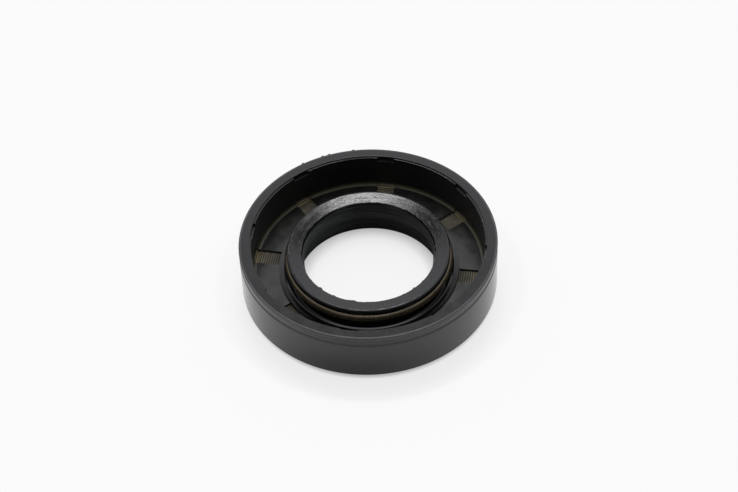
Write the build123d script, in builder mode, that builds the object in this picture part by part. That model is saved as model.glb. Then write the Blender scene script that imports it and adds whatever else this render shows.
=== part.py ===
from build123d import *
import os

os.makedirs("parts", exist_ok=True)

# Radial shaft seal, 16 x 30 x 7 mm: a rubber body moulded over a stamped steel case, with one
# spring-loaded sealing lip. Sizes are in millimetres. The origin is the centre of the flat back
# face. +Z is the shaft's axis and points to the side that holds the spring and meets the oil.
# +X goes through the middle of one of the eight windows in the floor. The profiles are drawn in
# the XZ plane, where a point is (radius, height above the back face).

# Nominal size
shaft_diameter = 16.0
housing_diameter = 30.0
seal_width = 7.0
shaft_radius = shaft_diameter / 2
outer_radius = housing_diameter / 2

# Stamped steel case: one ring of sheet, bent to an L, with a wall and an inward flange
steel_thickness = 0.6
case_wall_radius = 13.73  # inner face of the wall
case_wall_top = 6.3
case_floor_height = 2.15  # upper face of the flange
case_hole_radius = 10.2
case_bend_radius = 0.5  # inside the bend

# Outer wall and rim of the rubber body
lead_in_width = 0.7  # chamfer that guides the seal into its housing
lead_in_height = 0.75
parting_groove_height = 6.02
parting_groove_width = 0.75
parting_groove_depth = 0.1
rim_width = 1.2
rim_edge_radius = 0.08
rim_inner_edge_radius = 0.05
ledge_depth = 0.13  # how far the narrow ledge inside the rim lies below it
ledge_edge_radius = 0.06
lining_thickness = 0.16  # rubber on the inner face of the case wall

# Floor over the flange, with a cove up to the lining
floor_thickness = 0.27
cove_radius = 0.33

# Ridge round the root of the lip: a step, a gentle rise and a crest
ridge_step_radius = 10.55
ridge_step_height = 2.7
ridge_shoulder_radius = 9.97
ridge_shoulder_height = 2.72
ridge_crest_radius = 9.78
ridge_crest_height = 2.8

# Trough between the ridge and the flexing neck that carries the lip
trough_outer_radius = 9.69
trough_bottom_height = 1.97
trough_fillet = 0.36
neck_radius = 8.97
neck_top_height = 3.1
neck_fillet = 0.25

# Garter spring and the groove that it sits in, on the back of the lip
coil_radius = 0.55
groove_radius = 0.57
groove_circle_radius = 9.32
groove_height = 4.15
groove_edge_radius = 0.05
lower_land_radius = 9.6  # edge of the shelf under the spring
lower_land_height = 3.45
upper_land_radius = 9.54  # side of the lip head over the spring

# Sealing lip: an edge that grips the shaft, between an oil-side face and an air-side cone
lip_interference = 0.47  # how far the free edge stands inside the shaft's surface
lip_edge_height = 3.745
lip_top_height = 5.42
lip_top_inner_radius = 7.92
lip_top_inner_height = 5.12
lip_facet_radius = 7.73
lip_facet_height = 4.75
lip_head_fillet = 0.24
bore_clearance = 0.475  # between the shaft and the bore behind the lip
bore_height = 1.87

# Windows where the mould held the case: slots through the floor and the cove that leave the
# flange and its bend bare, and a notch in the ledge over each of them
window_count = 8
window_width = 2.08
window_height = 0.62
window_rim_gap = 0.03  # narrow part of the ledge that a notch leaves beside the rim

# Sizes that follow from the ones above
lip_edge_radius = shaft_radius - lip_interference
bore_radius = shaft_radius + bore_clearance
rim_inner_radius = outer_radius - rim_width
lining_radius = case_wall_radius - lining_thickness
ledge_height = seal_width - ledge_depth
floor_height = case_floor_height + floor_thickness
parting_groove_bottom = parting_groove_height - parting_groove_width / 2
parting_groove_top = parting_groove_height + parting_groove_width / 2
notch_height = seal_width - window_height
window_outer_radius = rim_inner_radius - window_rim_gap
spring_circle_radius = groove_circle_radius - (groove_radius - coil_radius)


# The case follows the middle of its sheet, so the wall, bend and flange have one thickness
with BuildPart() as steel_case:
    with BuildSketch(Plane.XZ) as case_section:
        with BuildLine():
            FilletPolyline(
                (case_hole_radius, case_floor_height - steel_thickness / 2),
                (case_wall_radius + steel_thickness / 2, case_floor_height - steel_thickness / 2),
                (case_wall_radius + steel_thickness / 2, case_wall_top),
                radius=case_bend_radius + steel_thickness / 2,
            )
        trace(line_width=steel_thickness)
    revolve(axis=Axis.Z)

# The body is one moulding, bonded to the case all over except at the windows
with BuildPart() as rubber_body:
    with BuildSketch(Plane.XZ) as body_section:
        with BuildLine():
            Polyline(
                (lip_edge_radius, lip_edge_height),
                (bore_radius, bore_height),
                (bore_radius, 0),
                (outer_radius - lead_in_width, 0),
                (outer_radius, lead_in_height),
                (outer_radius, parting_groove_bottom),
            )
            ThreePointArc(
                (outer_radius, parting_groove_bottom),
                (outer_radius - parting_groove_depth, parting_groove_height),
                (outer_radius, parting_groove_top),
            )
            FilletPolyline(
                (outer_radius, parting_groove_top),
                (outer_radius, seal_width),
                (rim_inner_radius, seal_width),
                (rim_inner_radius, ledge_height),
                (lining_radius, ledge_height),
                (lining_radius, floor_height),
                (ridge_step_radius, floor_height),
                radius=(rim_edge_radius, rim_inner_edge_radius, 0, ledge_edge_radius, cove_radius),
            )
            Polyline(
                (ridge_step_radius, floor_height),
                (ridge_step_radius, ridge_step_height),
                (ridge_shoulder_radius, ridge_shoulder_height),
                (ridge_crest_radius, ridge_crest_height),
            )
            FilletPolyline(
                (ridge_crest_radius, ridge_crest_height),
                (trough_outer_radius, trough_bottom_height),
                (neck_radius, trough_bottom_height),
                (neck_radius, neck_top_height),
                (lower_land_radius, lower_land_height),
                radius=(trough_fillet, trough_fillet, neck_fillet),
            )
            FilletPolyline(
                (lower_land_radius, lower_land_height),
                (upper_land_radius, groove_height),
                (upper_land_radius, lip_top_height),
                (lip_top_inner_radius, lip_top_inner_height),
                radius=(groove_edge_radius, lip_head_fillet),
            )
            Polyline(
                (lip_top_inner_radius, lip_top_inner_height),
                (lip_facet_radius, lip_facet_height),
                (lip_edge_radius, lip_edge_height),
            )
        make_face()
        with Locations((groove_circle_radius, groove_height)):
            Circle(groove_radius, mode=Mode.SUBTRACT)
        add(case_section.sketch_local, mode=Mode.SUBTRACT)
    revolve(axis=Axis.Z)
    # Straight slots from the bore to the rim, trimmed to the ring between the ridge and the rim;
    # the same outline is cut upwards from the flange and from the foot of the notches
    with BuildSketch(Plane.XY.offset(case_floor_height), Plane.XY.offset(notch_height)):
        with PolarLocations((bore_radius + outer_radius) / 2, window_count):
            Rectangle(outer_radius - bore_radius, window_width)
        Circle(window_outer_radius, mode=Mode.INTERSECT)
        Circle(ridge_step_radius, mode=Mode.SUBTRACT)
    extrude(amount=window_height, mode=Mode.SUBTRACT)

# The spring's outer form; its ring rests against the inner side of the groove
with BuildPart() as garter_spring:
    with BuildSketch(Plane.XZ):
        with Locations((spring_circle_radius, groove_height)):
            Circle(coil_radius)
    revolve(axis=Axis.Z)

steel_case.part.label = "steel_case"
rubber_body.part.label = "rubber_body"
garter_spring.part.label = "garter_spring"
export_step(steel_case.part, "parts/steel_case.step")
export_step(rubber_body.part, "parts/rubber_body.step")
export_step(garter_spring.part, "parts/garter_spring.step")
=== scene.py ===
import math

import bmesh
import bpy
from bpy.props import FloatProperty, FloatVectorProperty, IntProperty, PointerProperty
from mathutils import Matrix, Vector, noise


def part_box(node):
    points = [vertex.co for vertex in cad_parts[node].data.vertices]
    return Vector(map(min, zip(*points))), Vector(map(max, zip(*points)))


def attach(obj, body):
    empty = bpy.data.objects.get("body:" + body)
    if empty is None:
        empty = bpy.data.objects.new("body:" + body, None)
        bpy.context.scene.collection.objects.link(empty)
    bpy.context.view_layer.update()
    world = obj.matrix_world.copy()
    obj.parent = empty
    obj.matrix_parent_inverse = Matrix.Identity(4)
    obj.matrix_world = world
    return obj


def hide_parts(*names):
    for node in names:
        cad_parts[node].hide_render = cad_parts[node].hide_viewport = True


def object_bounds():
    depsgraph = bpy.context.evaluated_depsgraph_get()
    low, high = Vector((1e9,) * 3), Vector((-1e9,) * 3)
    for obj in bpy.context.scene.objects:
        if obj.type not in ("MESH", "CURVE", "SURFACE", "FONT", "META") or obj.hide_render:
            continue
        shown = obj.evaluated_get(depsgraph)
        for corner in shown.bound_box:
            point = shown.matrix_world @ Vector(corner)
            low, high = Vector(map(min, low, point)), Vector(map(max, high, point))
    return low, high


bl_info = {
    "name": "Radial shaft seal",
    "version": (1, 0, 0),
    "blender": (4, 5, 0),
    "location": "3D View > Sidebar > Shaft seal",
    "description": "Dresses a radial shaft seal: moulded rubber, steel case and garter spring",
    "category": "Object",
}

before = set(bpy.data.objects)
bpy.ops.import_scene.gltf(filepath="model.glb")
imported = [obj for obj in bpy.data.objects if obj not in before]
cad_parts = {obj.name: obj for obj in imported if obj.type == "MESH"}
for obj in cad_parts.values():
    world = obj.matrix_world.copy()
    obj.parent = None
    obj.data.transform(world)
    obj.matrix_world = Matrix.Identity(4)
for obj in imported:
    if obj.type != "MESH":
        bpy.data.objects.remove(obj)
CAD_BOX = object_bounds()
BODY = "root"
MM = 0.001
SENSOR_MM = 36.0
CLIP_START = 10 * MM

# Places on the rubber in millimetres: two radii, two heights, and the width over which each fades
PLACES = {
    "floor": ((10.6, 13.3), (2.35, 2.5), 0.05),
    "lip_top": ((7.8, 9.6), (5.05, 5.5), 0.03),
    "bore": ((0, 8.5), (-1, 4.7), 0.03),
    "cove": ((13.4, 13.6), (2.4, 2.72), 0.25),
    "ridge": ((9.8, 10.53), (2.65, 2.9), 0.03),
    "trough": ((8.9, 9.75), (1.9, 3.3), 0.1),
    "lining": ((13.52, 13.79), (2.7, 6.6), 0.05),
    "lip_edge": ((9.36, 9.6), (5.0, 5.5), 0.05),
    "lip_ring": ((8.3, 8.65), (5.05, 5.5), 0.12),
    "rim_edge": ((14.8, 15.1), (6.62, 7.1), 0.08),
}

# How much rougher than the rest of the skin each place and each mark is; a minus makes it smoother
ROUGHER = {
    "floor": 0.055,
    "bore": 0.79,
    "lip_ring": -0.04,
    "rubs": 0.08,
    "nicks": 0.25,
    "ridge": -0.05,
    "rim_edge": 0.26,
    "cove": 0.32,
    "lining": 0.3,
    "lip_edge": 0.3,
}
ROUGHNESS_SPREAD = 0.04

# Streaks round the axis: length and width in millimetres, and detail. The length holds at the lip's
# radius. Real marks of knife and mould are mostly too fine to show, so these are drawn coarser.
LIP_RADIUS_MM = 8.7
SCRATCHES = (1.8, 0.2, 5.0)
NICKS = (0.9, 0.15, 3.0)
RIPPLES = (12.0, 0.6, 2.0)
TURNED_LINES = (12.0, 0.3, 3.0)
SCUFFS = (0.8, 0.3, 4.0)

# Levels of the noise between which each kind of mark sets in
MOTTLE_LEVELS = (0.3, 0.7)
DUST_LEVELS = (0.35, 0.65)
SCUFF_LEVELS = (0.45, 0.75)
LINE_LEVELS = (0.45, 0.7)
BORE_LIT_LEVELS = (0.38, 0.62)
RUB_LEVELS = (0.5, 0.66)
NICK_LEVELS = (0.58, 0.66)

# Strength of the dust where there is least and most of it, and the least strength of the rim edge's grey,
# which is a painted highlight all along the edge under the scuffs
DUST_SHARES = (0.4, 1.6)
EDGE_HIGHLIGHT_LEAST = 0.35

# Side of the bore that is painted lighter and greener, as painted light falling on it, in degrees round the
# axis, and the cosines of the two angles from there between which this painted light sets in
BORE_LIT_AZIMUTH = 156
BORE_LIT_SPREAD = (0.7, 0.95)

# On the steel: the bend as a place, the radii of the flange, how its colour is painted lighter outwards as
# painted light against the shade of the wall, and how rough and how metallic the flange and the burnished
# bend are
BEND = ((13.24, 13.42), (2.1, 2.4), 0.05)
FLANGE_SPAN = (10.9, 13.3)
OUTWARD_LIGHTENING = (0.5, 1.4)
STEEL_ROUGHNESS = (0.7, 0.35)
STEEL_METALLIC = (0.2, 1.0)

# How far the rings waver with the blotches, in radians, and how many blotches of the coat and
# shades of the wire there are to a millimetre
RING_WAVER = 3.0
BLOTCHES_PER_MM = 1.2
TINTS_PER_MM = 0.8

# Fringe: the lip's inner edge as radius and height in millimetres; for each point of the fringe's
# section the steps in radius and height from that edge, and whether it reaches into the bore; the
# least share of the full reach; and the level of the noise at which a tatter starts
FRINGE_EDGE = (7.92, 5.12)
FRINGE_SECTION = ((0.05, 0.0, 0), (0.0, -0.01, 1), (0.0, -0.06, 0))
FRINGE_STEPS = 900
FRINGE_LEAST = 0.15
FRINGE_START = 0.14

# Nibs of flash: where they are round the rim in degrees; their stretch outwards, along the rim and
# upwards; how far outside the rim their middle lies, as a share of their radius; how deep the noise
# dents them, as a share of the way to their middle
FLASH_AZIMUTHS = (105.7, 117, 120.2, 130.2)
NIB_STRETCH = (1, 2, 0.8)
NIB_OUT = 0.7
NIB_DENT = 0.5

# Radii on the paper in millimetres between which its backlight changes, which paints the seal's shadow on
# it: in the hole, at the outer wall, out in the open, and in front of the seal's foot; then how closely the
# painted shade at the foot keeps to the front
HOLE_SHADE = (6.8, 8.4)
WALL_SHADE = (14.5, 15.0)
OPEN_PAPER = (15.5, 18.8)
FOOT_SHADE = (17.3, 19.3)
FOOT_POWER = 3.2

# Heights above the floor in degrees between which the light of the surroundings changes, and the
# angles from the lamp's middle between which its glow fades
OVERHEAD_EDGE = (60, 78)
SCREEN_TOP = (47.8, 50.3)
SCREEN_FOOT = (20, 42)
GLOW_EDGE = (18, 8)

# How far a direction has to point ahead, behind or aside for the light there to set in; how far
# aside the screen's middle ends, and how bright the screen is there, as a share of its middle
AHEAD = (0.2, 0.6)
BEHIND = (-0.1, -0.5)
ASIDE = (0.35, 0.8)
SCREEN_MIDDLE = (0.12, 0.42)
SCREEN_SIDES = 0.8


def linear(hex_colour):
    """An sRGB colour such as '#1C1C1D' as linear red, green, blue and alpha."""
    channels = [int(hex_colour[i : i + 2], 16) / 255 for i in (1, 3, 5)]
    return [c / 12.92 if c <= 0.04045 else ((c + 0.055) / 1.055) ** 2.4 for c in channels] + [1.0]


def from_axis(turn):
    """The direction away from the seal's axis, at a turn about it."""
    return Vector((math.cos(turn), math.sin(turn), 0))


def add_node(tree, kind, values=None, links=None, **settings):
    """Adds a shader node, with its settings, the values of its sockets and the links into them."""
    node = tree.nodes.new(kind)
    for name, value in settings.items():
        setattr(node, name, value)
    for socket, value in (values or {}).items():
        node.inputs[socket].default_value = value
    for socket, source in (links or {}).items():
        tree.links.new(source, node.inputs[socket])
    return node


def new_material(name):
    """An empty node material, and its tree."""
    material = bpy.data.materials.new(name)
    material.use_nodes = True
    material.node_tree.nodes.clear()
    return material, material.node_tree


def seal_coordinates(tree):
    """Places on the seal in millimetres: the point itself, its direction from the axis, its radius
    and its height."""
    point = add_node(tree, "ShaderNodeTexCoord").outputs["Object"]
    millimetres = add_node(
        tree, "ShaderNodeVectorMath", {1: (1 / MM,) * 3}, {0: point}, operation="MULTIPLY"
    ).outputs[0]
    flat = add_node(
        tree, "ShaderNodeVectorMath", {1: (1, 1, 0)}, {0: millimetres}, operation="MULTIPLY"
    ).outputs[0]
    direction = add_node(tree, "ShaderNodeVectorMath", None, {0: flat}, operation="NORMALIZE").outputs[0]
    radius = add_node(tree, "ShaderNodeVectorMath", None, {0: flat}, operation="LENGTH").outputs["Value"]
    height = add_node(tree, "ShaderNodeSeparateXYZ", None, {0: millimetres}).outputs["Z"]
    return millimetres, direction, radius, height


def between(tree, value, low, high, edge):
    """A mask that is 1 where a value lies between two others and fades to 0 over the edge's width."""
    rise = add_node(
        tree,
        "ShaderNodeMapRange",
        {"From Min": low - edge, "From Max": low},
        {"Value": value},
        interpolation_type="SMOOTHSTEP",
    ).outputs[0]
    fall = add_node(
        tree,
        "ShaderNodeMapRange",
        {"From Min": high, "From Max": high + edge, "To Min": 1.0, "To Max": 0.0},
        {"Value": value},
        interpolation_type="SMOOTHSTEP",
    ).outputs[0]
    return add_node(tree, "ShaderNodeMath", None, {0: rise, 1: fall}, operation="MULTIPLY").outputs[0]


def zone(tree, radius, height, radii, heights, edge):
    """A mask of the part of the seal that lies between two radii and two heights, in millimetres."""
    ring = between(tree, radius, radii[0], radii[1], edge)
    layer = between(tree, height, heights[0], heights[1], edge)
    return add_node(tree, "ShaderNodeMath", None, {0: ring, 1: layer}, operation="MULTIPLY").outputs[0]


def round_streaks(tree, direction, across, length_mm, width_mm, detail):
    """Noise drawn out round the axis, as a cutter leaves it, with streaks of a length and a width."""
    along = add_node(
        tree, "ShaderNodeVectorMath", {"Scale": LIP_RADIUS_MM / length_mm}, {0: direction}, operation="SCALE"
    ).outputs[0]
    lane = add_node(tree, "ShaderNodeMath", {1: 1 / width_mm}, {0: across}, operation="MULTIPLY").outputs[0]
    up = add_node(tree, "ShaderNodeCombineXYZ", None, {"Z": lane}).outputs[0]
    place = add_node(tree, "ShaderNodeVectorMath", None, {0: along, 1: up}, operation="ADD").outputs[0]
    return add_node(
        tree, "ShaderNodeTexNoise", {"Scale": 1.0, "Detail": detail, "Roughness": 0.6}, {"Vector": place}
    ).outputs["Fac"]


def marks(tree, value, levels, place, least=0.0, most=1.0):
    """A mask of the marks in a place, which set in while a value rises from one level to another."""
    drawn = add_node(
        tree,
        "ShaderNodeMapRange",
        {"From Min": levels[0], "From Max": levels[1], "To Min": least, "To Max": most},
        {"Value": value},
    ).outputs[0]
    return add_node(tree, "ShaderNodeMath", None, {0: drawn, 1: place}, operation="MULTIPLY").outputs[0]


# Compression-moulded nitrile rubber, black with soot. It is very dark under a satin skin, so nearly
# all that the eye sees of it is the soft reflection of what stands around it. The mould was polished
# on the inner side, and the top of the lip was trimmed with a knife.
def moulded_rubber(settings):
    material, tree = new_material("moulded_nitrile_rubber")
    point, direction, radius, height = seal_coordinates(tree)
    masks = {name: zone(tree, radius, height, *place) for name, place in PLACES.items()}
    mottle = add_node(
        tree,
        "ShaderNodeTexNoise",
        {"Scale": 1 / settings.mottle_size_mm, "Detail": 6.0, "Roughness": 0.6},
        {"Vector": point},
    ).outputs["Fac"]
    # Drawn coarser than the mould's own grain, which is too fine to show
    grain = add_node(
        tree,
        "ShaderNodeTexNoise",
        {"Scale": 1 / settings.grain_size_mm, "Detail": 3.0, "Roughness": 0.55},
        {"Vector": point},
    ).outputs["Fac"]
    scratches = round_streaks(tree, direction, radius, *SCRATCHES)
    nicks = round_streaks(tree, direction, radius, *NICKS)
    ripples = round_streaks(tree, direction, radius, *RIPPLES)
    turned_lines = round_streaks(tree, direction, height, *TURNED_LINES)
    scuffs = round_streaks(tree, direction, height, *SCUFFS)

    sunk = add_node(
        tree, "ShaderNodeMath", None, {0: masks["floor"], 1: masks["trough"]}, operation="MAXIMUM"
    ).outputs[0]
    # Painted light: a lighter, greener tone on the one side of the bore where light falls
    side = add_node(
        tree,
        "ShaderNodeVectorMath",
        {1: from_axis(math.radians(BORE_LIT_AZIMUTH))},
        {0: direction},
        operation="DOT_PRODUCT",
    ).outputs["Value"]
    bore_lit_side = marks(tree, side, BORE_LIT_SPREAD, masks["bore"])
    colour = add_node(
        tree,
        "ShaderNodeMix",
        {"A": settings.rubber_colour, "B": settings.bloom_colour},
        {"Factor": mottle},
        data_type="RGBA",
    ).outputs["Result"]
    # The dust's mask goes past 1 where it lies thick, so the factors aren't clamped
    for layer, mask in (
        (settings.dust_colour, marks(tree, mottle, DUST_LEVELS, sunk, *DUST_SHARES)),
        # The cove's olive is partly bonding agent and partly a painted highlight, tinted as a painted
        # reflection of the spring
        (settings.cove_agent_and_highlight_colour, masks["cove"]),
        (settings.turned_colour, marks(tree, turned_lines, LINE_LEVELS, masks["bore"])),
        # Painted light on one side of the bore, laid in lines
        (settings.bore_lit_side_colour, marks(tree, turned_lines, BORE_LIT_LEVELS, bore_lit_side)),
        # The rim's edge: scuffs over a painted highlight that lightens the whole edge
        (settings.scuff_and_highlight_colour, marks(tree, scuffs, SCUFF_LEVELS, masks["rim_edge"], EDGE_HIGHLIGHT_LEAST)),
    ):
        colour = add_node(
            tree,
            "ShaderNodeMix",
            {"B": layer},
            {"Factor": mask, "A": colour},
            data_type="RGBA",
            clamp_factor=False,
        ).outputs["Result"]

    masks["rubs"] = marks(tree, scratches, RUB_LEVELS, masks["lip_top"])
    masks["nicks"] = marks(tree, nicks, NICK_LEVELS, masks["lip_top"])
    roughness = add_node(
        tree,
        "ShaderNodeMapRange",
        {
            "From Min": MOTTLE_LEVELS[0],
            "From Max": MOTTLE_LEVELS[1],
            "To Min": settings.rubber_roughness - ROUGHNESS_SPREAD,
            "To Max": settings.rubber_roughness + ROUGHNESS_SPREAD,
        },
        {"Value": mottle},
    ).outputs[0]
    for name, change in ROUGHER.items():
        roughness = add_node(
            tree, "ShaderNodeMath", {1: change}, {0: masks[name], 2: roughness}, operation="MULTIPLY_ADD"
        ).outputs[0]

    worn = add_node(tree, "ShaderNodeMath", None, {0: scratches, 1: ripples}, operation="ADD").outputs[0]
    cuts = add_node(
        tree, "ShaderNodeMath", None, {0: worn, 1: masks["lip_top"]}, operation="MULTIPLY"
    ).outputs[0]
    relief = add_node(
        tree, "ShaderNodeMath", None, {0: turned_lines, 1: masks["bore"], 2: cuts}, operation="MULTIPLY_ADD"
    ).outputs[0]
    grain_bump = add_node(
        tree,
        "ShaderNodeBump",
        {"Strength": 0.25, "Distance": settings.grain_depth_mm * MM},
        {"Height": grain},
    ).outputs[0]
    bump = add_node(
        tree,
        "ShaderNodeBump",
        {"Strength": 1.0, "Distance": settings.scratch_depth_mm * MM},
        {"Height": relief, "Normal": grain_bump},
    ).outputs[0]
    shader = add_node(
        tree,
        "ShaderNodeBsdfPrincipled",
        {"IOR": settings.rubber_ior},
        {"Base Color": colour, "Roughness": roughness, "Normal": bump},
    )
    add_node(tree, "ShaderNodeOutputMaterial", None, {"Surface": shader.outputs[0]})
    return material


# Cold-rolled strip, phosphated and coated with bonding agent, so it is a dull olive grey. The press
# tool burnished the bend and left rings round the axis. Most of the real rings are too fine to show,
# so these are drawn coarser.
def phosphated_steel(settings):
    material, tree = new_material("phosphated_strip_steel")
    point, _, radius, height = seal_coordinates(tree)
    blotch = add_node(
        tree, "ShaderNodeTexNoise", {"Scale": BLOTCHES_PER_MM, "Detail": 5.0}, {"Vector": point}
    ).outputs["Fac"]
    waver = add_node(
        tree, "ShaderNodeMath", {1: RING_WAVER}, {0: blotch}, operation="MULTIPLY"
    ).outputs[0]
    turns = add_node(
        tree,
        "ShaderNodeMath",
        {1: 2 * math.pi / settings.ring_spacing_mm},
        {0: radius, 2: waver},
        operation="MULTIPLY_ADD",
    ).outputs[0]
    rings = add_node(tree, "ShaderNodeMath", None, {0: turns}, operation="SINE").outputs[0]
    stripe = add_node(
        tree, "ShaderNodeMapRange", {"From Min": -1.0, "From Max": 1.0}, {"Value": rings}
    ).outputs[0]
    striped = add_node(
        tree,
        "ShaderNodeMix",
        {"A": settings.steel_colour, "B": settings.steel_shade},
        {"Factor": stripe},
        data_type="RGBA",
    ).outputs["Result"]
    blotched = add_node(
        tree,
        "ShaderNodeMix",
        {"B": settings.steel_shade},
        {"Factor": blotch, "A": striped},
        data_type="RGBA",
    ).outputs["Result"]
    # Painted light: the colour brightens towards the wall, against the shade that falls there
    coat = add_node(
        tree,
        "ShaderNodeMapRange",
        {
            "From Min": FLANGE_SPAN[0],
            "From Max": FLANGE_SPAN[1],
            "To Min": OUTWARD_LIGHTENING[0],
            "To Max": OUTWARD_LIGHTENING[1],
        },
        {"Value": radius},
    ).outputs[0]
    coated = add_node(
        tree, "ShaderNodeVectorMath", None, {0: blotched, "Scale": coat}, operation="SCALE"
    ).outputs[0]
    bend = zone(tree, radius, height, *BEND)
    colour = add_node(
        tree, "ShaderNodeMix", {"B": settings.bend_colour}, {"Factor": bend, "A": coated}, data_type="RGBA"
    ).outputs["Result"]
    roughness, metallic = (
        add_node(tree, "ShaderNodeMapRange", {"To Min": flat, "To Max": bent}, {"Value": bend}).outputs[0]
        for flat, bent in (STEEL_ROUGHNESS, STEEL_METALLIC)
    )
    bump = add_node(
        tree, "ShaderNodeBump", {"Strength": 1.0, "Distance": settings.ring_depth_mm * MM}, {"Height": rings}
    ).outputs[0]
    shader = add_node(
        tree,
        "ShaderNodeBsdfPrincipled",
        None,
        {"Base Color": colour, "Normal": bump, "Roughness": roughness, "Metallic": metallic},
    )
    add_node(tree, "ShaderNodeOutputMaterial", None, {"Surface": shader.outputs[0]})
    return material


# Drawn carbon-steel spring wire, tempered to a straw colour and left oily and dark.
def tempered_wire(settings):
    material, tree = new_material("tempered_spring_wire")
    point = seal_coordinates(tree)[0]
    tint = add_node(
        tree, "ShaderNodeTexNoise", {"Scale": TINTS_PER_MM, "Detail": 4.0}, {"Vector": point}
    ).outputs["Fac"]
    colour = add_node(
        tree,
        "ShaderNodeMix",
        {"A": settings.wire_colour, "B": settings.wire_shade},
        {"Factor": tint},
        data_type="RGBA",
    ).outputs["Result"]
    shader = add_node(
        tree,
        "ShaderNodeBsdfPrincipled",
        {"Metallic": 1.0, "Roughness": settings.wire_roughness},
        {"Base Color": colour},
    )
    add_node(tree, "ShaderNodeOutputMaterial", None, {"Surface": shader.outputs[0]})
    return material


# Matt white paper, partly lit from below. The share that comes from below is cut near the seal, which paints
# its shadow: under the seal, in the hole and round its wall, and, in what the seal mirrors, at its foot in
# front.
def white_paper(settings):
    material, tree = new_material("white_paper")
    _, direction, radius, _ = seal_coordinates(tree)
    shaded, seen = settings.backlight_shaded, settings.backlight_seen
    # These ramps paint the seal's shadow on the paper by cutting its backlight near the seal
    inside, outside, wall = (
        add_node(
            tree,
            "ShaderNodeMapRange",
            {"From Min": radii[0], "From Max": radii[1], "To Min": inner, "To Max": outer},
            {"Value": radius},
        ).outputs[0]
        for radii, inner, outer in (
            (HOLE_SHADE, seen, shaded),
            (WALL_SHADE, shaded, seen),
            (WALL_SHADE, 0.0, 1.0),
        )
    )
    beyond, near = (
        add_node(
            tree,
            "ShaderNodeMapRange",
            {"From Min": radii[0], "From Max": radii[1], "To Min": inner, "To Max": outer},
            {"Value": radius},
            interpolation_type="SMOOTHSTEP",
        ).outputs[0]
        for radii, inner, outer in (
            (OPEN_PAPER, 0.0, settings.backlight_open),
            (FOOT_SHADE, settings.backlight_foot, settings.backlight_near),
        )
    )
    lit = inside
    for other in (outside, beyond):
        lit = add_node(tree, "ShaderNodeMath", None, {0: lit, 1: other}, operation="MAXIMUM").outputs[0]
    rays = add_node(tree, "ShaderNodeLightPath").outputs
    looked_at = add_node(
        tree, "ShaderNodeMath", None, {0: rays["Is Camera Ray"], 1: lit}, operation="MULTIPLY"
    ).outputs[0]

    along = add_node(tree, "ShaderNodeSeparateXYZ", None, {0: direction}).outputs["Y"]
    in_front = add_node(
        tree, "ShaderNodeMapRange", {"From Min": 0.0, "From Max": -1.0}, {"Value": along}
    ).outputs[0]
    in_front = add_node(
        tree, "ShaderNodeMath", {1: FOOT_POWER}, {0: in_front}, operation="POWER"
    ).outputs[0]
    mirrored = add_node(
        tree, "ShaderNodeMapRange", {"To Min": settings.backlight_far}, {"Value": in_front, "To Max": near}
    ).outputs[0]
    mirrored = add_node(
        tree, "ShaderNodeMath", None, {0: wall, 1: mirrored}, operation="MULTIPLY"
    ).outputs[0]
    share = add_node(
        tree,
        "ShaderNodeMath",
        None,
        {0: rays["Is Glossy Ray"], 1: mirrored, 2: looked_at},
        operation="MULTIPLY_ADD",
    ).outputs[0]
    paper = add_node(
        tree, "ShaderNodeBsdfPrincipled", {"Base Color": settings.floor_colour, "Roughness": 0.9}
    ).outputs[0]
    backlight = add_node(
        tree, "ShaderNodeEmission", {"Color": settings.floor_colour, "Strength": 1.0}
    ).outputs[0]
    mixed = add_node(tree, "ShaderNodeMixShader", None, {0: share, 1: paper, 2: backlight}).outputs[0]
    add_node(tree, "ShaderNodeOutputMaterial", None, {"Surface": mixed})
    return material


def add_object(context, name, data):
    """Puts an object with its data into the scene."""
    thing = bpy.data.objects.new(name, data)
    context.scene.collection.objects.link(thing)
    return thing


def add_piece(context, mesh, name, material):
    """Turns a bmesh into a piece that rides on the seal."""
    bmesh.ops.recalc_face_normals(mesh, faces=mesh.faces)
    data = bpy.data.meshes.new(name)
    mesh.to_mesh(data)
    mesh.free()
    data.materials.append(material)
    piece = add_object(context, name, data)
    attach(piece, BODY)
    return piece


def join_sections(mesh, sections, smooth):
    """Joins closed sections with faces, each to the next one and the last to the first."""
    for here, there in zip(sections, sections[1:] + sections[:1]):
        for i in range(len(here)):
            j = (i + 1) % len(here)
            mesh.faces.new((here[i], there[i], there[j], here[j])).smooth = smooth


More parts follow.
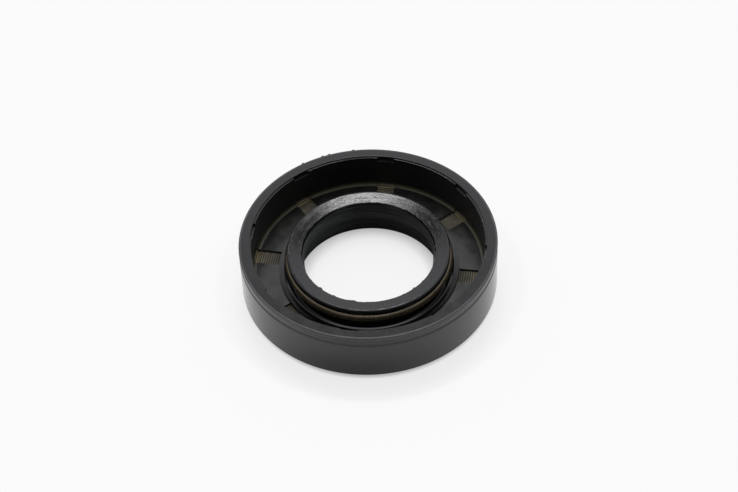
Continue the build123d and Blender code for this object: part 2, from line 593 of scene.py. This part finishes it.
def white_surroundings(settings, turn, lamp_side):
    """The world: plain white to the camera. To all else it is a diffuser overhead, a low screen ahead,
    light walls to the left and right, and a glow round the lamp."""
    world = bpy.data.worlds.new("white_surroundings")
    world.use_nodes = True
    tree = world.node_tree
    tree.nodes.clear()
    direction = add_node(tree, "ShaderNodeTexCoord").outputs["Generated"]
    upward = add_node(tree, "ShaderNodeSeparateXYZ", None, {0: direction}).outputs["Z"]
    forward, sideways, to_lamp = (
        add_node(
            tree, "ShaderNodeVectorMath", {1: axis}, {0: direction}, operation="DOT_PRODUCT"
        ).outputs["Value"]
        for axis in (turn @ Vector((0, 1, 0)), turn @ Vector((1, 0, 0)), lamp_side)
    )
    strength = add_node(
        tree,
        "ShaderNodeMapRange",
        {
            "From Min": math.sin(math.radians(OVERHEAD_EDGE[0])),
            "From Max": math.sin(math.radians(OVERHEAD_EDGE[1])),
            "To Min": settings.sky_strength,
            "To Max": settings.overhead_strength,
        },
        {"Value": upward},
        interpolation_type="SMOOTHSTEP",
    ).outputs[0]
    for where, edge, added in (
        (forward, BEHIND, settings.dark_side),
        (sideways, ASIDE, settings.right_strength),
        (sideways, [-side for side in ASIDE], settings.left_strength),
        (to_lamp, [math.cos(math.radians(angle)) for angle in GLOW_EDGE], settings.glow_strength),
    ):
        part = add_node(
            tree,
            "ShaderNodeMapRange",
            {"From Min": edge[0], "From Max": edge[1], "To Max": added},
            {"Value": where},
            interpolation_type="SMOOTHSTEP",
        ).outputs[0]
        strength = add_node(tree, "ShaderNodeMath", None, {0: strength, 1: part}, operation="ADD").outputs[0]

    off_middle = add_node(tree, "ShaderNodeMath", None, {0: sideways}, operation="ABSOLUTE").outputs[0]
    ahead, middle = (
        add_node(
            tree,
            "ShaderNodeMapRange",
            {"From Min": edge[0], "From Max": edge[1], "To Min": first, "To Max": last},
            {"Value": where},
            interpolation_type="SMOOTHSTEP",
        ).outputs[0]
        for where, edge, first, last in (
            (forward, AHEAD, 0.0, 1.0),
            (off_middle, SCREEN_MIDDLE, 1.0, SCREEN_SIDES),
        )
    )
    screen = add_node(tree, "ShaderNodeMath", None, {0: ahead, 1: middle}, operation="MULTIPLY").outputs[0]
    arched = add_node(
        tree,
        "ShaderNodeMath",
        {1: settings.screen_arch},
        {0: off_middle, 2: upward},
        operation="MULTIPLY_ADD",
    ).outputs[0]
    for rise, edge, added in (
        (arched, SCREEN_TOP, settings.screen_strength),
        (upward, SCREEN_FOOT, -settings.screen_fade),
    ):
        part = add_node(
            tree,
            "ShaderNodeMapRange",
            {
                "From Min": math.sin(math.radians(edge[0])),
                "From Max": math.sin(math.radians(edge[1])),
                "To Min": added,
                "To Max": 0.0,
            },
            {"Value": rise},
            interpolation_type="SMOOTHSTEP",
        ).outputs[0]
        strength = add_node(
            tree, "ShaderNodeMath", None, {0: part, 1: screen, 2: strength}, operation="MULTIPLY_ADD"
        ).outputs[0]
    camera_ray = add_node(tree, "ShaderNodeLightPath").outputs["Is Camera Ray"]
    light = add_node(
        tree, "ShaderNodeBackground", {"Color": settings.sky_colour}, {"Strength": strength}
    ).outputs[0]
    seen = add_node(
        tree, "ShaderNodeBackground", {"Color": settings.backdrop_colour, "Strength": 1.0}
    ).outputs[0]
    mixed = add_node(tree, "ShaderNodeMixShader", None, {0: camera_ray, 1: light, 2: seen}).outputs[0]
    add_node(tree, "ShaderNodeOutputWorld", None, {"Surface": mixed})
    return world


def camera_matrix(settings, turn):
    """The camera's place: aimed at the middle of the rim, then rolled and moved in its own frame."""
    elevation = settings.camera_elevation
    ahead = turn @ Vector((0, math.cos(elevation), -math.sin(elevation)))
    right = turn @ Vector((1, 0, 0))
    up = right.cross(ahead)
    roll = Matrix.Rotation(settings.camera_roll, 3, -ahead)
    right, up = roll @ right, roll @ up
    spot = Vector((0, 0, CAD_BOX[1][2])) - ahead * settings.camera_distance
    spot += right * settings.camera_right + up * settings.camera_up
    return Matrix([[right[i], up[i], -ahead[i], spot[i]] for i in range(3)] + [[0, 0, 0, 1]])


def colour_property(name, description, hex_colour):
    """A colour setting, whose default is given as an sRGB colour."""
    return FloatVectorProperty(
        name=name,
        description=description,
        default=linear(hex_colour),
        size=4,
        min=0,
        max=1,
        subtype="COLOR",
    )


class SEAL_PG_rubber(bpy.types.PropertyGroup):
    rubber_colour: colour_property("Rubber colour", "Colour of the rubber itself", "#090909")
    bloom_colour: colour_property("Bloom colour", "Colour where wax has bloomed to the surface", "#0F0F10")
    # Partly the bonding agent's olive, partly a painted highlight on the cove's fillet, tinted as a painted
    # reflection of the spring
    cove_agent_and_highlight_colour: colour_property(
        "Cove colour", "Olive of the bonding agent that shows at the cove", "#403F2A"
    )
    # Painted highlight along the rim's outer edge, with scuffs on it
    scuff_and_highlight_colour: colour_property("Scuff colour", "Grey of the rubbed edge of the rim", "#3C3C40")
    dust_colour: colour_property(
        "Dust colour", "Grey of the dust and oil that lie on the floor and in the trough", "#1D1D1B"
    )
    # Painted light: a dull green, lighter tone on the side of the bore where light falls
    bore_lit_side_colour: colour_property(
        "Oil colour", "Dull green of the preserving oil that dried on one side of the bore", "#3E4641"
    )
    turned_colour: colour_property(
        "Turned colour", "Grey of the lines that the turned core of the mould left in the bore", "#2A2B27"
    )
    rubber_roughness: FloatProperty(
        name="Roughness",
        description="Mean roughness of the moulded skin",
        default=0.16,
        min=0,
        max=1,
        subtype="FACTOR",
    )
    rubber_ior: FloatProperty(
        name="Refractive index", description="Refractive index of the rubber's skin", default=1.52, min=1
    )
    mottle_size_mm: FloatProperty(
        name="Mottle size",
        description="Size of the patches of bloom, in millimetres",
        default=1.5,
        min=0.1,
    )
    grain_size_mm: FloatProperty(
        name="Grain size",
        description="Size of the grain that the mould leaves, in millimetres",
        default=0.12,
        min=0.01,
    )
    grain_depth_mm: FloatProperty(
        name="Grain depth", description="Depth of the grain, in millimetres", default=0.01, min=0
    )
    scratch_depth_mm: FloatProperty(
        name="Scratch depth",
        description="Depth of the marks of knife and mould, in millimetres",
        default=0.03,
        min=0,
    )
    fringe_length: FloatProperty(
        name="Fringe length",
        description="Reach of the fringe into the bore",
        default=0.28 * MM,
        subtype="DISTANCE",
    )
    fringe_spacing_mm: FloatProperty(
        name="Fringe spacing",
        description="Distance between the fringe's tatters, in millimetres",
        default=0.7,
        min=0.05,
    )
    flash_length: FloatProperty(
        name="Flash length",
        description="Radius of a nib of flash, before it is stretched and dented",
        default=0.1 * MM,
        subtype="DISTANCE",
    )


class SEAL_PG_case(bpy.types.PropertyGroup):
    steel_colour: colour_property("Steel colour", "Colour of the coated steel", "#908A74")
    steel_shade: colour_property("Steel shade", "Darker colour of the coated steel", "#2D2A20")
    bend_colour: colour_property("Bend colour", "Colour of the bend, burnished by the press tool", "#8A7E5C")
    ring_spacing_mm: FloatProperty(
        name="Ring spacing",
        description="Distance between the tool's rings, in millimetres",
        default=0.27,
        min=0.05,
    )
    ring_depth_mm: FloatProperty(
        name="Ring depth", description="Depth of the tool's rings, in millimetres", default=0.02, min=0
    )


class SEAL_PG_spring(bpy.types.PropertyGroup):
    wire_diameter: FloatProperty(
        name="Wire diameter",
        description="Diameter of the spring's wire",
        default=0.18 * MM,
        min=0.05 * MM,
        subtype="DISTANCE",
    )
    points_per_turn: IntProperty(
        name="Points per turn",
        description="Rings of the wire's mesh in one turn of the coil",
        default=14,
        min=6,
    )
    wire_sides: IntProperty(
        name="Wire sides", description="Sides of the wire's mesh", default=8, min=4
    )
    wire_colour: colour_property("Wire colour", "Straw colour of the tempered wire", "#B5AB96")
    wire_shade: colour_property("Wire shade", "Browner colour in places", "#978B72")
    wire_roughness: FloatProperty(
        name="Wire roughness",
        description="Roughness of the drawn and oily wire",
        default=0.38,
        min=0,
        max=1,
        subtype="FACTOR",
    )


class SEAL_PG_stage(bpy.types.PropertyGroup):
    floor_colour: colour_property("Floor colour", "Colour of the paper", "#FBFBFB")
    floor_size: FloatProperty(
        name="Floor size", description="Width of the paper", default=2.0, min=0.1, subtype="DISTANCE"
    )
    backlight_seen: FloatProperty(
        name="Backlight seen",
        description="Share of the paper's white that comes from below",
        default=0.775,
        min=0,
        max=1,
        subtype="FACTOR",
    )
    backlight_open: FloatProperty(
        name="Backlight in the open",
        description="The same share away from the seal",
        default=0.92,
        min=0,
        max=1,
        subtype="FACTOR",
    )
    # Painted shadow: the backlight is cut under the seal
    backlight_shaded: FloatProperty(
        name="Backlight shaded",
        description="The same share under the seal",
        default=0.42,
        min=0,
        max=1,
        subtype="FACTOR",
    )
    # Painted shadow at the seal's foot, in what the seal mirrors
    backlight_foot: FloatProperty(
        name="Backlight foot",
        description="The share that the seal mirrors at its foot, in front",
        default=0.2,
        min=0,
        max=1,
        subtype="FACTOR",
    )
    backlight_near: FloatProperty(
        name="Backlight near",
        description="The share that it mirrors farther in front of its foot",
        default=0.48,
        min=0,
        max=1,
        subtype="FACTOR",
    )
    backlight_far: FloatProperty(
        name="Backlight far",
        description="The share that it mirrors beside and behind it",
        default=0.95,
        min=0,
        max=1,
        subtype="FACTOR",
    )
    sky_colour: colour_property("Light's colour", "Colour of the light that comes from around", "#FAFBFF")
    backdrop_colour: colour_property(
        "Backdrop colour", "Colour that the camera sees past the paper", "#FFFFFF"
    )
    sky_strength: FloatProperty(
        name="Surroundings", description="Brightness of the white surroundings", default=0.26
    )
    overhead_strength: FloatProperty(
        name="Overhead", description="Brightness of the diffuser overhead", default=1.65
    )
    dark_side: FloatProperty(
        name="Dark side", description="Change of brightness behind the camera", default=-0.19
    )
    right_strength: FloatProperty(
        name="Right side", description="Light that the right side adds", default=0.45
    )
    left_strength: FloatProperty(
        name="Left side", description="Light that the left side adds", default=0.55
    )
    screen_strength: FloatProperty(
        name="Screen", description="Light that the screen ahead adds", default=0.98
    )
    screen_arch: FloatProperty(
        name="Screen arch", description="How fast the screen's top falls to the sides", default=0.12
    )
    screen_fade: FloatProperty(
        name="Screen fade", description="How much less the screen's foot adds", default=0.25
    )
    glow_strength: FloatProperty(
        name="Glow", description="Light that the lamp's diffuser adds round it", default=0.4
    )
    lamp_elevation: FloatProperty(
        name="Lamp elevation",
        description="Height of the soft lamp above the floor",
        default=math.radians(68),
        subtype="ANGLE",
    )
    lamp_azimuth: FloatProperty(
        name="Lamp azimuth",
        description="Turn of the soft lamp to the right of the camera's line",
        default=math.radians(1),
        subtype="ANGLE",
    )
    lamp_distance: FloatProperty(
        name="Lamp distance",
        description="Distance of the soft lamp from the seal",
        default=0.5,
        subtype="DISTANCE",
    )
    lamp_size: FloatProperty(
        name="Lamp size", description="Diameter of the soft lamp", default=0.165, subtype="DISTANCE"
    )
    lamp_power: FloatProperty(
        name="Lamp power", description="Power of the soft lamp", default=0.76, unit="POWER"
    )
    lens_mm: FloatProperty(
        name="Lens", description="Focal length on a 36 mm sensor, in millimetres", default=100.0
    )
    camera_distance: FloatProperty(
        name="Camera distance",
        description="Distance of the camera from the middle of the rim",
        default=237.15 * MM,
        subtype="DISTANCE",
    )
    camera_elevation: FloatProperty(
        name="Camera elevation",
        description="Angle of the camera's line above the floor",
        default=math.radians(47.12),
        subtype="ANGLE",
    )
    camera_azimuth: FloatProperty(
        name="Camera azimuth",
        description="Turn of the camera about the seal's axis",
        default=math.radians(10.74),
        subtype="ANGLE",
    )
    camera_roll: FloatProperty(
        name="Camera roll",
        description="Tilt of the camera about its line of sight",
        default=math.radians(-2.57),
        subtype="ANGLE",
    )
    camera_right: FloatProperty(
        name="Shift to the right",
        description="How far the camera is moved to its right",
        default=0.12 * MM,
        subtype="DISTANCE",
    )
    camera_up: FloatProperty(
        name="Shift up",
        description="How far the camera is moved up, in its own frame",
        default=-0.69 * MM,
        subtype="DISTANCE",
    )


class SEAL_OT_rubber_body(bpy.types.Operator):
    """Give the rubber body its moulded skin"""

    bl_idname = "seal.rubber_body"
    bl_label = "Rubber body"

    def execute(self, context):
        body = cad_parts["rubber_body"]
        body.data.materials.clear()
        body.data.materials.append(moulded_rubber(context.scene.seal_rubber))
        return {"FINISHED"}


class SEAL_OT_trim_marks(bpy.types.Operator):
    """Add the ragged fringe that the knife left on the lip, and the nibs of flash on the rim"""

    bl_idname = "seal.trim_marks"
    bl_label = "Trim marks"

    def execute(self, context):
        settings = context.scene.seal_rubber
        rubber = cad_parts["rubber_body"].data.materials[0]
        mesh = bmesh.new()
        sections = []
        for step in range(FRINGE_STEPS):
            outward = from_axis(2 * math.pi * step / FRINGE_STEPS)
            tatter = noise.noise(outward * FRINGE_EDGE[0] / settings.fringe_spacing_mm)
            reach = settings.fringe_length * (FRINGE_LEAST + max(0.0, tatter - FRINGE_START))
            section = []
            for out, up, share in FRINGE_SECTION:
                radius = (FRINGE_EDGE[0] + out) * MM - reach * share
                height = (FRINGE_EDGE[1] + up) * MM
                section.append(mesh.verts.new(outward * radius + Vector((0, 0, height))))
            sections.append(section)
        join_sections(mesh, sections, smooth=False)
        fringe = add_piece(context, mesh, "lip_trim_fringe", rubber)

        mesh = bmesh.new()
        for azimuth in FLASH_AZIMUTHS:
            turn = math.radians(azimuth)
            middle = from_axis(turn) * (CAD_BOX[1][0] + NIB_OUT * settings.flash_length)
            middle.z = CAD_BOX[1][2] - settings.flash_length
            form = Matrix.Rotation(turn, 4, "Z") @ Matrix.Diagonal((*NIB_STRETCH, 1))
            nib = bmesh.ops.create_icosphere(
                mesh,
                subdivisions=2,
                radius=settings.flash_length,
                matrix=Matrix.Translation(middle) @ form,
            )
            for vertex in nib["verts"]:
                dent = NIB_DENT * abs(noise.noise(vertex.co / settings.flash_length))
                vertex.co += (middle - vertex.co) * dent
        flash = add_piece(context, mesh, "rim_flash", rubber)
        return {"FINISHED"}


class SEAL_OT_steel_case(bpy.types.Operator):
    """Give the steel case its phosphated finish"""

    bl_idname = "seal.steel_case"
    bl_label = "Steel case"

    def execute(self, context):
        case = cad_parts["steel_case"]
        case.data.materials.clear()
        case.data.materials.append(phosphated_steel(context.scene.seal_case))
        return {"FINISHED"}


class SEAL_OT_garter_spring(bpy.types.Operator):
    """Wind the garter spring, turn against turn, in the place of its plain ring"""

    bl_idname = "seal.garter_spring"
    bl_label = "Garter spring"

    def execute(self, context):
        settings = context.scene.seal_spring
        low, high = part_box("garter_spring")
        coil_radius = (high.z - low.z) / 2
        ring_radius = high.x - coil_radius
        ring_height = (high.z + low.z) / 2
        wire_radius = settings.wire_diameter / 2
        winding_radius = coil_radius - wire_radius
        # The turns touch on the inner side of the ring
        turns = round(2 * math.pi * (ring_radius - coil_radius) / settings.wire_diameter)
        steps = turns * settings.points_per_turn
        up = Vector((0, 0, 1))
        mesh = bmesh.new()
        sections = []
        for step in range(steps):
            along = 2 * math.pi * step / steps
            around = 2 * math.pi * step / settings.points_per_turn
            outward = from_axis(along)
            forward = Vector((-math.sin(along), math.cos(along), 0))
            spoke = outward * math.cos(around) + up * math.sin(around)
            swing = up * math.cos(around) - outward * math.sin(around)
            centre = outward * ring_radius + Vector((0, 0, ring_height)) + spoke * winding_radius
            advance = forward * (ring_radius / (turns * winding_radius)) + swing
            side = advance.normalized().cross(spoke)
            section = []
            for i in range(settings.wire_sides):
                turn = 2 * math.pi * i / settings.wire_sides
                bow = (spoke * math.cos(turn) + side * math.sin(turn)) * wire_radius
                section.append(mesh.verts.new(centre + bow))
            sections.append(section)
        join_sections(mesh, sections, smooth=True)
        coil = add_piece(context, mesh, "garter_spring_coil", tempered_wire(settings))
        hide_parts("garter_spring")
        return {"FINISHED"}


class SEAL_OT_stage(bpy.types.Operator):
    """Set the paper floor, the light and the camera"""

    bl_idname = "seal.stage"
    bl_label = "Stage"

    def execute(self, context):
        settings = context.scene.seal_stage
        scene = context.scene
        half = settings.floor_size / 2
        corners = [(-half, -half, 0), (half, -half, 0), (half, half, 0), (-half, half, 0)]
        floor_data = bpy.data.meshes.new("paper_floor")
        floor_data.from_pydata(corners, [], [(0, 1, 2, 3)])
        floor_data.materials.append(white_paper(settings))
        floor = add_object(context, "paper_floor", floor_data)

        turn = Matrix.Rotation(settings.camera_azimuth, 3, "Z")
        level = math.cos(settings.lamp_elevation)
        lamp_side = turn @ Vector(
            (
                level * math.sin(settings.lamp_azimuth),
                level * math.cos(settings.lamp_azimuth),
                math.sin(settings.lamp_elevation),
            )
        )
        scene.world = white_surroundings(settings, turn, lamp_side)

        lamp_data = bpy.data.lights.new("soft_lamp", "AREA")
        lamp_data.shape = "DISK"
        lamp_data.size = settings.lamp_size
        lamp_data.energy = settings.lamp_power
        lamp = add_object(context, "soft_lamp", lamp_data)
        lamp.location = lamp_side * settings.lamp_distance
        lamp.rotation_euler = (-lamp_side).to_track_quat("-Z", "Y").to_euler()

        camera_data = bpy.data.cameras.new("camera")
        camera_data.lens = settings.lens_mm
        camera_data.sensor_width = SENSOR_MM
        camera_data.clip_start = CLIP_START
        camera = add_object(context, "camera", camera_data)
        camera.matrix_world = camera_matrix(settings, turn)
        scene.camera = camera
        scene.view_settings.view_transform = "Standard"
        return {"FINISHED"}


class SEAL_PT_panel(bpy.types.Panel):
    """Lists the steps that dress the seal"""

    bl_idname = "SEAL_PT_panel"
    bl_label = "Shaft seal"
    bl_space_type = "VIEW_3D"
    bl_region_type = "UI"
    bl_category = "Shaft seal"

    def draw(self, context):
        for step in STEPS:
            self.layout.operator(step.bl_idname)


STEPS = (
    SEAL_OT_rubber_body,
    SEAL_OT_trim_marks,
    SEAL_OT_steel_case,
    SEAL_OT_garter_spring,
    SEAL_OT_stage,
)
GROUPS = {
    "seal_rubber": SEAL_PG_rubber,
    "seal_case": SEAL_PG_case,
    "seal_spring": SEAL_PG_spring,
    "seal_stage": SEAL_PG_stage,
}


def register():
    for group in GROUPS.values():
        bpy.utils.register_class(group)
    for step in STEPS:
        bpy.utils.register_class(step)
    bpy.utils.register_class(SEAL_PT_panel)
    for name, group in GROUPS.items():
        setattr(bpy.types.Scene, name, PointerProperty(type=group))


def unregister():
    for name in GROUPS:
        delattr(bpy.types.Scene, name)
    bpy.utils.unregister_class(SEAL_PT_panel)
    for step in reversed(STEPS):
        bpy.utils.unregister_class(step)
    for group in reversed(GROUPS.values()):
        bpy.utils.unregister_class(group)


def main():
    register()
    bpy.ops.seal.rubber_body()
    bpy.ops.seal.trim_marks()
    bpy.ops.seal.steel_case()
    bpy.ops.seal.garter_spring()
    bpy.ops.seal.stage()


if __name__ == "__main__":
    main()
